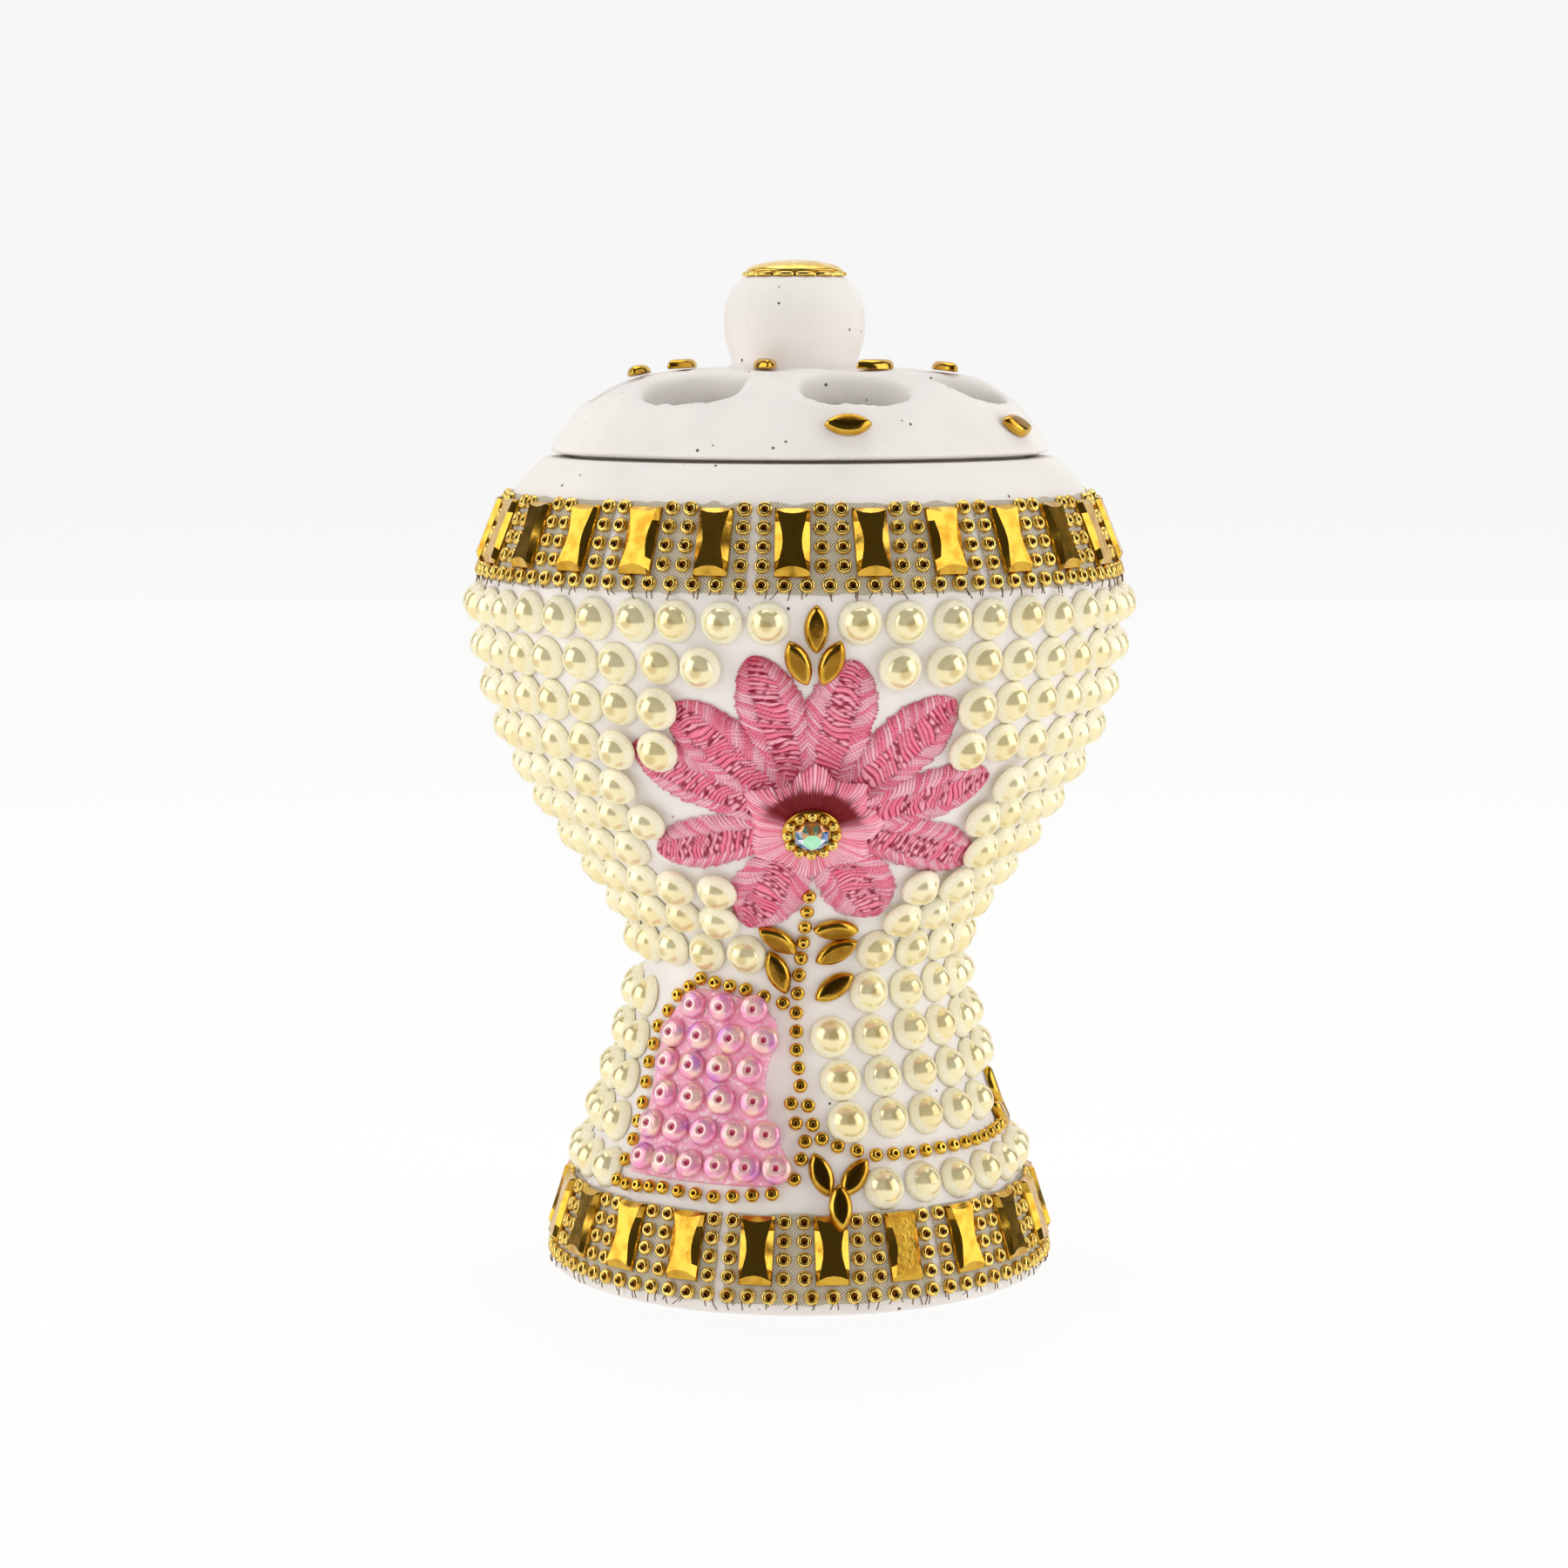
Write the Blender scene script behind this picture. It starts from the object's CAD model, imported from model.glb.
"""Looks of the dressed powder jar: clay, pearls, gilt trims, embroidery, padded panel and studio.

Lengths inside the functions are millimetres; make_piece() turns them into metres. A place on the
wall is a turn (degrees from the front towards the right-hand side) and a height.
"""

import math

import bpy
import numpy as np
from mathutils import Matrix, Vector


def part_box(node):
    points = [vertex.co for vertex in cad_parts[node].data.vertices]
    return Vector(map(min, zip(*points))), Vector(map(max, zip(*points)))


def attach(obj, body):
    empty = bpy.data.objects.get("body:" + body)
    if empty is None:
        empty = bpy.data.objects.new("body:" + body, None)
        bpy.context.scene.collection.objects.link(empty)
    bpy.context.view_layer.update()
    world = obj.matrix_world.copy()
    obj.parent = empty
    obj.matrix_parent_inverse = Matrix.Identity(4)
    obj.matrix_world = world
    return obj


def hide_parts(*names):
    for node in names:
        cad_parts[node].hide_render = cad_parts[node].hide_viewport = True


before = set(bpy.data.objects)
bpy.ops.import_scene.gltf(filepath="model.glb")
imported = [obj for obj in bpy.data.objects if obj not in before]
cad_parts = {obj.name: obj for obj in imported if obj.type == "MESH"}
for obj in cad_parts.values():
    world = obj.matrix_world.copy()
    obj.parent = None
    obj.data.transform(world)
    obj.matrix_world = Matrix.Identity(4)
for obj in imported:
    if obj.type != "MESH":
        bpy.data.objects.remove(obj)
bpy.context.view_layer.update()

bl_info = {
    "name": "Powder jar looks",
    "version": (1, 0, 0),
    "blender": (4, 5, 0),
    "location": "3D View > Sidebar > Powder jar",
    "description": "Builds the visible pieces of a dressed powder jar around its fixed frame",
    "category": "Object",
}

MM = 0.001
GLUE = 0.06  # film of glue under every piece, mm
UPPER_STRIPS = 9
LOWER_STRIPS = 7
PEARL_ROWS = 15
TAPE_GAP = 1.0  # wider gap between strips of tape than between their CAD solids, mm
STUD_ROW = 1.2  # studs this little above the lowest one are in its row, mm
HOLLOW_SPLIT = 43  # height between the foot's hollow and the bowl, mm
WALL_STEPS = 2400  # heights at which the wall's profile is kept
WALL_SOFTENING = 43  # heights, an odd number, over which the profile's corners are rounded

# Outer petals: direction clockwise from upright in degrees, length, width, sideways bend.
PETALS = [
    (-17, 26.3, 9.0, -0.6),
    (11, 25, 9.6, 0.6),
    (45, 27, 9.0, 0.8),
    (78, 27, 8.0, -1.4),
    (106, 27, 8.8, 0.6),
    (149, 20, 10.4, 0.4),
    (204, 21, 10.2, -0.4),
    (254, 22.8, 8.8, 0.4),
    (292, 28, 8.0, 1.6),
    (315, 26.4, 8.8, -0.8),
]
PETAL_ROOT = 5.0  # distance of a petal's root from the flower's centre, mm
DARK_TIPPED = (0, 4, 8)  # the petals whose tips are crimson all over
# Points of the inner star: direction and length.
STAR = [(3, 10.0), (46, 9.6), (88, 9.6), (128, 9.2), (182, 9.0), (236, 8.8), (302, 10.0)]
STAR_REACH = 7.0  # least reach of the star between its points, mm
STAR_THREADS = 118
STAR_RELIEF = 0.24  # height of a thread above the gap beside it, mm

# Camera: place in metres, tilt below level in degrees, focal length and sensor width in mm.
CAMERA_PLACE = (-0.0022, -0.562, 0.1344)
CAMERA_TILT = 6.61
CAMERA_LENS = 90.6
CAMERA_SENSOR = 36


# ---- numbers ----
def linear(red, green, blue):
    """Linear colour of an 8-bit display colour, by the usual power curve with a short foot."""
    value = np.array([red, green, blue]) / 255
    return tuple(np.where(value > 0.04045, ((value + 0.055) / 1.055) ** 2.4, value / 12.92))


def smooth(low, high, value):
    """0 below low, 1 above high, and the cubic 3t^2 - 2t^3 in between."""
    t = np.clip((value - low) / (high - low), 0, 1)
    return t * t * (3 - 2 * t)


def ripple(points, wave, seed, count=9):
    """Unevenness of about -1 to 1: the mean of sines of random direction and phase."""
    draw = np.random.default_rng(seed)
    way = draw.normal(size=(count, points.shape[-1]))
    way *= draw.uniform(0.7, 1.4, (count, 1)) / np.linalg.norm(way, axis=1, keepdims=True)
    phase = draw.uniform(0, 2 * np.pi, count)
    return 2 * np.sin(points @ way.T * (2 * np.pi / wave) + phase).mean(-1)


def scatter(number, seed):
    """A steady value from 0 to 1 for each whole number: the fraction of a large sine."""
    return (np.sin(number * 127.1 + seed * 311.7) * 43758.5453) % 1


# ---- reading the frame ----
def merged(node):
    """Corners in millimetres and triangles of a CAD node, with equal corners joined.

    Corners are equal where their whole micrometres are: three 21-bit numbers in one key.
    """
    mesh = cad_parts[node].data
    mesh.calc_loop_triangles()
    corners = np.empty(len(mesh.vertices) * 3)
    mesh.vertices.foreach_get("co", corners)
    faces = np.empty(len(mesh.loop_triangles) * 3, np.int32)
    mesh.loop_triangles.foreach_get("vertices", faces)
    step = np.rint(corners.reshape(-1, 3) / (MM * MM)).astype(np.int64) + (1 << 20)
    key = (step[:, 0] << 42) | (step[:, 1] << 21) | step[:, 2]
    _, first, back = np.unique(key, return_index=True, return_inverse=True)
    return corners.reshape(-1, 3)[first] / MM, back[faces].reshape(-1, 3)


def solids(node):
    """Corners of each loose solid of a node: joined corners take the lowest label around."""
    corners, faces = merged(node)
    label = np.arange(len(corners))
    while True:
        lowest = label[faces].min(1)
        spread = label.copy()
        for side in range(3):
            np.minimum.at(spread, faces[:, side], lowest)
        spread = spread[spread]
        if (spread == label).all():
            return [corners[label == value] for value in np.unique(label)]
        label = spread


class Wall:
    """The jar's turned wall: its profile read from the body, and places on it."""

    def __init__(self):
        corners, faces = merged("jar_body")
        a, b, c = (corners[faces[:, k]] for k in range(3))
        normal = np.cross(b - a, c - a)
        middle = (a + b + c) / 3
        facing = (normal[:, :2] * middle[:, :2]).sum(1)
        facing /= np.linalg.norm(normal, axis=1) * np.hypot(middle[:, 0], middle[:, 1]) + 1e-9
        self.outside = self.profile(corners[np.unique(faces[facing > 0.15])])
        inside = corners[np.unique(faces[facing < -0.1])]
        self.bowl = self.profile(inside[inside[:, 2] > HOLLOW_SPLIT])
        self.foot = self.profile(inside[inside[:, 2] < HOLLOW_SPLIT])
        self.top = self.outside[-1, 1]
        self.z = np.linspace(0, self.top, WALL_STEPS)
        plain = np.interp(self.z, self.outside[:, 1], self.outside[:, 0])
        kernel = np.hanning(WALL_SOFTENING)
        padded = np.pad(plain, WALL_SOFTENING // 2, mode="reflect", reflect_type="odd")
        self.r = np.convolve(padded, kernel / kernel.sum(), "valid")
        self.tilt = np.arctan(np.gradient(self.r, self.z))
        self.path = np.concatenate([[0], np.cumsum(np.hypot(np.diff(self.r), np.diff(self.z)))])

    @staticmethod
    def profile(corners):
        """Radius and height, rising, of the rings that the corners lie on."""
        height, back = np.unique(corners[:, 2].round(3), return_inverse=True)
        radius = np.zeros(len(height))
        np.maximum.at(radius, back, np.hypot(corners[:, 0], corners[:, 1]))
        return np.stack([radius, height], 1)

    def radius(self, z):
        """Radius of the wall at a height."""
        return np.interp(z, self.z, self.r)

    def climb(self, z, distance):
        """Height reached by going this distance up the wall from z."""
        return np.interp(np.interp(z, self.z, self.path) + distance, self.path, self.z)

    def axes(self, turn, z):
        """Side, up the wall and outwards at a place, as the rows of a 3 x 3 matrix each."""
        a, lean = np.radians(turn), np.interp(z, self.z, self.tilt)
        sin_a, cos_a, sin_l, cos_l = np.sin(a), np.cos(a), np.sin(lean), np.cos(lean)
        side = np.stack([cos_a, sin_a, 0 * sin_a], -1)
        up = np.stack([sin_l * sin_a, -sin_l * cos_a, cos_l], -1)
        out = np.stack([cos_l * sin_a, -cos_l * cos_a, -sin_l], -1)
        return np.stack([side, up, out], -2)

    def at(self, turn, z, lift=0.0):
        """The point lift outside the wall at a turn and height."""
        turn, z = np.broadcast_arrays(np.asarray(turn, float), z)
        a, r = np.radians(turn), self.radius(z)
        foot = np.stack([r * np.sin(a), -r * np.cos(a), z], -1)
        return foot + np.asarray(lift)[..., None] * self.axes(turn, z)[..., 2, :]

    def find(self, points):
        """Turn, height and distance outwards of points: the nearest point of the profile."""
        r, z = np.hypot(points[:, 0], points[:, 1]), points[:, 2]
        gap = (r[:, None] - self.r) ** 2 + (z[:, None] - self.z) ** 2
        best = gap.argmin(1)
        turn = np.degrees(np.arctan2(points[:, 0], -points[:, 1]))
        sign = np.sign((r - self.r[best]) * np.cos(self.tilt[best])
                       - (z - self.z[best]) * np.sin(self.tilt[best]))
        return turn, self.z[best], sign * np.sqrt(gap[np.arange(len(best)), best])

    def patch(self, turn, z, x, y, lift):
        """Point x across and y up the wall's surface from a place, lift outside it."""
        high = self.climb(z, y)
        return self.at(turn + np.degrees(x / self.radius(high)), high, lift)


WALL = Wall()


def seats(node):
    """Foot points on the wall and axes of the solids of a node, each at its own lift."""
    groups = solids(node)
    turn, z, _ = WALL.find(np.array([p.mean(0) for p in groups]))
    axes = WALL.axes(turn, z)
    foot = WALL.at(turn, z)
    lift = np.array([((p - f) @ a[2]).min() for p, f, a in zip(groups, foot, axes)])
    return foot + lift[:, None] * axes[:, 2], axes


def laid_flat(node, outward):
    """Foot points and axes of flat long solids: axes by size of spread, the thinnest out."""
    places, turns = [], []
    for points in solids(node):
        middle = (points.max(0) + points.min(0)) / 2
        _, ways = np.linalg.eigh(np.cov((points - points.mean(0)).T))
        out, side, up = ways.T
        if out @ outward(middle) < 0:
            out = -out
        if up[2] < 0:
            up = -up
        side = np.cross(up, out)
        along = (points - points.mean(0)) @ out
        places.append(points.mean(0) + along.min() * out)
        turns.append([side, up, out])
    return np.array(places), np.array(turns)


def from_axis(point):
    """Direction from the jar's axis to a point."""
    return np.array([point[0], point[1], 0])


def upwards(_point):
    """Straight up, wherever the point is."""
    return np.array([0, 0, 1.0])


# ---- shapes ----
def grid_faces(rows, columns, wrap=False):
    """Quads between neighbours of a grid, facing side x up; wrap joins the last column."""
    i, j = np.meshgrid(np.arange(rows - 1), np.arange(columns - (not wrap)), indexing="ij")
    k = (j + 1) % columns
    quads = [i * columns + j, i * columns + k, (i + 1) * columns + k, (i + 1) * columns + j]
    return np.stack(quads, -1).reshape(-1, 4)


def lofted(rings, low, high):
    """Closed skin over rings[k, m, 3] that run anticlockwise, ending in the points low, high."""
    count, sides = rings.shape[:2]
    points = np.concatenate([[low], rings.reshape(-1, 3), [high]])
    j = np.arange(sides)
    k, last = (j + 1) % sides, len(points) - 1
    under = np.stack([0 * j, 1 + k, 1 + j], -1)
    over = np.stack([last - sides + j, last - sides + k, 0 * j + last], -1)
    quads = grid_faces(count, sides, True) + 1
    return points, quads.tolist() + under.tolist() + over.tolist()


def turned(profile, sides):
    """Solid of revolution of (radius, height) pairs, from the axis below to the axis above."""
    profile = np.asarray(profile, float)
    a = np.arange(sides) * 2 * np.pi / sides
    circle = np.stack([np.cos(a), np.sin(a), 0 * a], -1)
    rings = profile[1:-1, :1, None] * circle + profile[1:-1, 1, None, None] * [0, 0, 1]
    return lofted(rings, [0, 0, profile[0, 1]], [0, 0, profile[-1, 1]])


def slab(inner, outer):
    """Closed plate between two grids of points: both skins and the four edges."""
    rows, columns = outer.shape[:2]
    half = rows * columns
    top = grid_faces(rows, columns) + half
    under = grid_faces(rows, columns)[:, ::-1]
    i, j = np.arange(rows - 1) * columns, np.arange(columns - 1)
    far, end = (rows - 1) * columns, columns - 1
    rims = [
        np.stack([j, j + 1, j + 1 + half, j + half], -1),
        np.stack([far + j + 1, far + j, far + j + half, far + j + 1 + half], -1),
        np.stack([i + columns, i, i + half, i + columns + half], -1),
        np.stack([i + end, i + end + columns, i + end + columns + half, i + end + half], -1),
    ]
    points = np.concatenate([inner.reshape(-1, 3), outer.reshape(-1, 3)])
    return points, np.concatenate([top, under, *rims]).tolist()


def joined(shapes):
    """Several (points, faces) shapes as one."""
    points, faces, start = [], [], 0
    for corners, polygons in shapes:
        points.append(corners)
        faces += [[start + v for v in polygon] for polygon in polygons]
        start += len(corners)
    return np.concatenate(points), faces


def stamped(shape, places, spin=0.0, grow=1.0):
    """A copy of the shape on every place, turned by spin degrees and scaled by grow."""
    (points, faces), (foot, axes) = shape, places
    count = len(foot)
    a = np.radians(np.broadcast_to(spin, count))[:, None]
    x = points[:, 0] * np.cos(a) - points[:, 1] * np.sin(a)
    y = points[:, 0] * np.sin(a) + points[:, 1] * np.cos(a)
    local = np.stack([x, y, np.broadcast_to(points[:, 2], x.shape)], -1)
    local = local * np.broadcast_to(grow, count)[:, None, None]
    placed = foot[:, None] + local @ axes
    shift = (np.arange(count) * len(points))[:, None]
    flat = []
    for size in (3, 4):
        some = np.array([f for f in faces if len(f) == size], int)
        if len(some):
            flat += (some[None] + shift[..., None]).reshape(-1, size).tolist()
    return placed.reshape(-1, 3), flat


def softened(profile):
    """Corner cutting: every stretch keeps only its middle half, so corners become round."""
    p = np.asarray(profile, float)
    cut = np.stack([0.75 * p[:-1] + 0.25 * p[1:], 0.25 * p[:-1] + 0.75 * p[1:]], 1)
    return np.concatenate([p[:1], cut.reshape(-1, 2), p[-1:]])


def make_piece(name, shape, finish, body, nodes=(), sharp=None, marks=None, uv=None):
    """Puts a shape in millimetres into the scene as a named piece that rides on a body."""
    points, faces = shape
    mesh = bpy.data.meshes.new(name)
    mesh.from_pydata((np.asarray(points) * MM).tolist(), [], faces)
    mesh.polygons.foreach_set("use_smooth", np.ones(len(mesh.polygons), bool))
    for key, values in (marks or {}).items():
        kind = "FLOAT_VECTOR" if np.ndim(values) == 2 else "FLOAT"
        attribute = mesh.attributes.new(key, kind, "POINT")
        field = "vector" if kind == "FLOAT_VECTOR" else "value"
        attribute.data.foreach_set(field, np.asarray(values, np.float32).ravel())
    if uv is not None:
        loops = np.empty(len(mesh.loops), np.int32)
        mesh.loops.foreach_get("vertex_index", loops)
        layer = mesh.uv_layers.new(name="cloth")
        layer.data.foreach_set("uv", np.asarray(uv, np.float32)[loops].ravel())
    if sharp is not None:
        mesh.set_sharp_from_angle(angle=math.radians(sharp))
    mesh.materials.append(finish)
    mesh.validate()
    obj = bpy.data.objects.new(name, mesh)
    bpy.context.scene.collection.objects.link(obj)
    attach(obj, body)
    if nodes:
        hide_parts(*nodes)
    return obj


# ---- materials ----
class Finish:
    """A material in the making. Constants go straight onto the shader's own sockets."""

    def __init__(self, name, **constants):
        self.material = bpy.data.materials.new(name)
        self.material.use_nodes = True
        self.nodes = self.material.node_tree.nodes
        self.links = self.material.node_tree.links
        self.shader = self.nodes["Principled BSDF"]
        for key, value in constants.items():
            self.shader.inputs[key.replace("_", " ")].default_value = value

    def add(self, kind, inputs=None, **settings):
        """Adds a node; inputs are sockets by name or number, given as values or links."""
        node = self.nodes.new("ShaderNode" + kind)
        for key, value in settings.items():
            setattr(node, key, value)
        for key, value in (inputs or {}).items():
            if isinstance(value, bpy.types.NodeSocket):
                self.links.new(value, node.inputs[key])
            else:
                node.inputs[key].default_value = value
        return node

    def place(self):
        """The piece's own coordinates."""
        return self.add("TexCoord").outputs["Object"]

    def cloth(self):
        """The sheet's own map, in millimetres or stitches along the cloth."""
        return self.add("UVMap", uv_map="cloth").outputs["UV"]

    def mark(self, name):
        """The value that a piece's points carry under this name."""
        return self.add("Attribute", attribute_name=name).outputs["Fac"]

    def noise(self, scale, detail=2.0, where=None, rough=0.5):
        inputs = {"Vector": where or self.place(), "Scale": scale, "Detail": detail,
                  "Roughness": rough}
        return self.add("TexNoise", inputs).outputs["Fac"]

    def ramp(self, value, low, high, start=0.0, end=1.0):
        """Value carried from low..high to start..end, smoothly and kept inside."""
        inputs = {"Value": value, "From Min": low, "From Max": high, "To Min": start,
                  "To Max": end}
        return self.add("MapRange", inputs, interpolation_type="SMOOTHSTEP").outputs["Result"]

    def math(self, operation, first, second=0.0):
        return self.add("Math", {0: first, 1: second}, operation=operation).outputs[0]

    def mix(self, factor, first, second):
        """Two colours mixed by a factor; sockets 6 and 7 are the node's colours."""
        node = self.add("Mix", data_type="RGBA")
        for socket, value in ((0, factor), (6, first), (7, second)):
            if isinstance(value, bpy.types.NodeSocket):
                self.links.new(value, node.inputs[socket])
            else:
                node.inputs[socket].default_value = value if socket == 0 else (*value, 1)
        return node.outputs[2]

    def link(self, socket, value):
        """Feeds a value into the shader itself."""
        self.links.new(value, self.shader.inputs[socket])

    def bump(self, height, distance, strength=1.0):
        """Relief from a height between 0 and 1, distance metres deep."""
        inputs = {"Height": height, "Distance": distance, "Strength": strength}
        normal = self.add("Bump", inputs).outputs["Normal"]
        self.link("Normal", normal)


def clay_finish(name, paint):
    """Matt chalky paint over clay: faint blotches, brush grain and pin-holes."""
    f = Finish(name, Roughness=0.86, Specular_IOR_Level=0.25)
    blotch = f.noise(70, 3)
    grain = f.noise(900, 4, rough=0.65)
    shade = tuple(0.93 * c for c in paint)
    colour = f.mix(f.ramp(blotch, 0.35, 0.7), paint, shade)
    cells = f.add("TexVoronoi", {"Vector": f.place(), "Scale": 420.0, "Randomness": 1.0})
    few = f.ramp(f.noise(160, 1), 0.56, 0.62)
    hole = f.math("MULTIPLY", f.ramp(cells.outputs["Distance"], 0.07, 0.12, 1, 0), few)
    colour = f.mix(hole, colour, linear(92, 80, 74))
    f.link("Base Color", colour)
    relief = f.math("SUBTRACT", f.math("MULTIPLY", grain, 0.5), hole)
    f.bump(relief, 0.00012, 0.6)
    return f.material


def pearl_finish(cream):
    """Cream half pearls: a soft metallic skin under clear lacquer, each a little different."""
    f = Finish("cream_pearl", IOR=1.6, Coat_Weight=0.6, Coat_Roughness=0.06)
    warm = tuple(c * k for c, k in zip(cream, (0.98, 0.91, 0.76)))
    colour = f.mix(f.mark("tone"), cream, warm)
    grain = f.noise(2400, 3, rough=0.7)
    rim = f.ramp(f.mark("rim"), 0.4, 0.6, 1.0, 0.0)
    frost = f.math("MULTIPLY", rim, f.ramp(grain, 0.38, 0.6, 0.55, 1.0))
    colour = f.mix(frost, colour, linear(253, 247, 220))
    f.link("Metallic", f.ramp(rim, 0.0, 0.6, 0.45, 0.0))
    colour = f.mix(f.ramp(f.mark("rim"), 0.9, 1.0, 0.0, 0.7), colour, linear(206, 176, 104))
    f.link("Base Color", colour)
    f.link("Roughness", f.ramp(rim, 0.0, 1.0, 0.2, 0.6))
    f.bump(f.math("MULTIPLY", grain, rim), 0.0002, 0.8)
    return f.material


def gilt_finish(name, plating, rough=0.14, wear=0.1, hollow=False):
    """Bright gilt plating: mirror-like, a little wavy, with duller cloudy places.

    With hollow, the points marked so are darker.
    """
    f = Finish(name, Metallic=1.0)
    cloud = f.noise(500, 3)
    deep = tuple(c * k for c, k in zip(plating, (0.78, 0.66, 0.45)))
    colour = f.mix(f.ramp(cloud, 0.4, 0.7), plating, deep)
    if hollow:
        colour = f.mix(f.mark("hollow"), colour, linear(104, 56, 12))
    f.link("Base Color", colour)
    f.link("Roughness", f.ramp(cloud, 0.3, 0.75, rough, rough + wear))
    f.bump(f.noise(1100, 3), 0.00004, 0.5)
    return f.material


def net_finish(thread_colour):
    """Fine diagonal net over white clay: two crossing sets of threads on the tape's own map."""
    f = Finish("net_tape", Roughness=0.7, Specular_IOR_Level=0.3, Sheen_Weight=0.15)
    split = f.add("SeparateXYZ", {"Vector": f.cloth()})
    x, y = split.outputs["X"], split.outputs["Y"]
    threads = []
    pitch = 0.46  # from thread to thread, mm
    for operation in ("ADD", "SUBTRACT"):
        phase = f.math("MULTIPLY", f.math(operation, x, y), np.pi / pitch)
        threads.append(f.math("ABSOLUTE", f.math("SINE", phase)))
    open_net = f.math("MINIMUM", *threads)
    thread = f.ramp(open_net, 0.3, 0.62, 1, 0)
    light = tuple(min(1, 1.5 * c) for c in thread_colour)
    yarn = f.mix(f.noise(900, 2), thread_colour, light)
    f.link("Base Color", f.mix(thread, linear(226, 220, 208), yarn))
    f.bump(thread, 0.00012, 0.7)
    return f.material


def thread_finish(name, pale, full, gap, tip):
    """Satin stitch: pale and full stitches side by side, dark gaps, darker tips."""
    f = Finish(name, Roughness=0.42, Specular_IOR_Level=0.45, Sheen_Weight=0.3,
               Sheen_Roughness=0.35, Sheen_Tint=(1.0, 0.75, 0.88, 1.0), Anisotropic=0.4)
    fibre = f.noise(1.0, 3, where=f.add(
        "Mapping", {"Vector": f.cloth(), "Scale": (1.3, 9.0, 1.0)}).outputs["Vector"])
    stitch = f.mix(f.mark("tone"), full, pale)
    stitch = f.mix(f.ramp(fibre, 0.4, 0.7, 0.0, 0.6), stitch, pale)
    stitch = f.mix(f.mark("tip"), stitch, tip)
    f.link("Base Color", f.mix(f.mark("gap"), stitch, gap))
    f.bump(fibre, 0.00008, 0.8)
    return f.material


def pad_finish(pink):
    """Glittery pink pile: tiny flakes of many tilts over a soft ground."""
    f = Finish("pink_pad", Specular_IOR_Level=0.5, Sheen_Weight=0.25, Sheen_Roughness=0.5)
    flakes = f.add("TexVoronoi", {"Vector": f.place(), "Scale": 2600.0})
    pick = f.add("SeparateColor", {"Color": flakes.outputs["Color"]}).outputs["Red"]
    pale = tuple(0.35 * c + 0.65 for c in pink)
    deep = tuple(c * k for c, k in zip(pink, (0.99, 0.7, 0.86)))
    colour = f.mix(f.ramp(f.noise(450, 3), 0.35, 0.7), pink, deep)
    colour = f.mix(f.ramp(pick, 0.7, 0.92, 0.0, 0.75), colour, pale)
    f.link("Base Color", colour)
    f.link("Roughness", f.ramp(pick, 0.72, 0.9, 0.75, 0.3))
    f.bump(f.math("ADD", pick, f.noise(1200, 2)), 0.00018, 0.7)
    return f.material


def stud_finish(pink):
    """Iridescent pink studs: pearly peach crown, magenta dimple, violet to pink bloom."""
    f = Finish("pink_stud", Metallic=0.35, Coat_Weight=0.8, Coat_Roughness=0.06)
    bloom = f.noise(380, 2)
    peach, violet = linear(252, 208, 190), linear(196, 110, 206)
    colour = f.mix(f.ramp(bloom, 0.38, 0.66), pink, peach)
    colour = f.mix(f.ramp(f.noise(260, 1), 0.52, 0.72, 0.0, 0.75), colour, violet)
    colour = f.mix(f.math("MULTIPLY", f.mark("crown"), 0.75), colour, linear(255, 226, 206))
    colour = f.mix(f.mark("dimple"), colour, linear(190, 30, 84))
    f.link("Base Color", colour)
    f.link("Roughness", f.ramp(f.noise(1800, 2), 0.3, 0.7, 0.18, 0.34))
    f.bump(f.noise(1300, 3), 0.00009, 0.6)
    return f.material


def stone_finish():
    """Foiled crystal with a rainbow coat: every facet carries its own tint."""
    f = Finish("rainbow_stone", Metallic=0.5, Roughness=0.06, Coat_Weight=1.0,
               Coat_Roughness=0.02)
    tint = f.add("Attribute", attribute_name="facet").outputs["Color"]
    cloud = f.ramp(f.noise(900, 1), 0.3, 0.8, 0.0, 0.35)
    f.link("Base Color", f.mix(cloud, tint, linear(236, 244, 250)))
    return f.material


def plain_finish(name, colour, roughness):
    """Painted paper of the studio, with a faint grain."""
    f = Finish(name, Roughness=roughness, Specular_IOR_Level=0.1)
    f.link("Base Color", f.mix(f.noise(30, 2), colour, tuple(0.985 * c for c in colour)))
    return f.material


# ---- settings ----
def colour_setting(name, about, display):
    """A colour that a user can change, from its 8-bit display value."""
    return bpy.props.FloatVectorProperty(
        name=name, description=about, subtype="COLOR", size=3, min=0, max=1,
        default=linear(*display))


def length_setting(name, about, millimetres):
    """A length that a user can change."""
    return bpy.props.FloatProperty(
        name=name, description=about, unit="LENGTH", min=0, default=millimetres * MM,
        precision=5)


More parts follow.
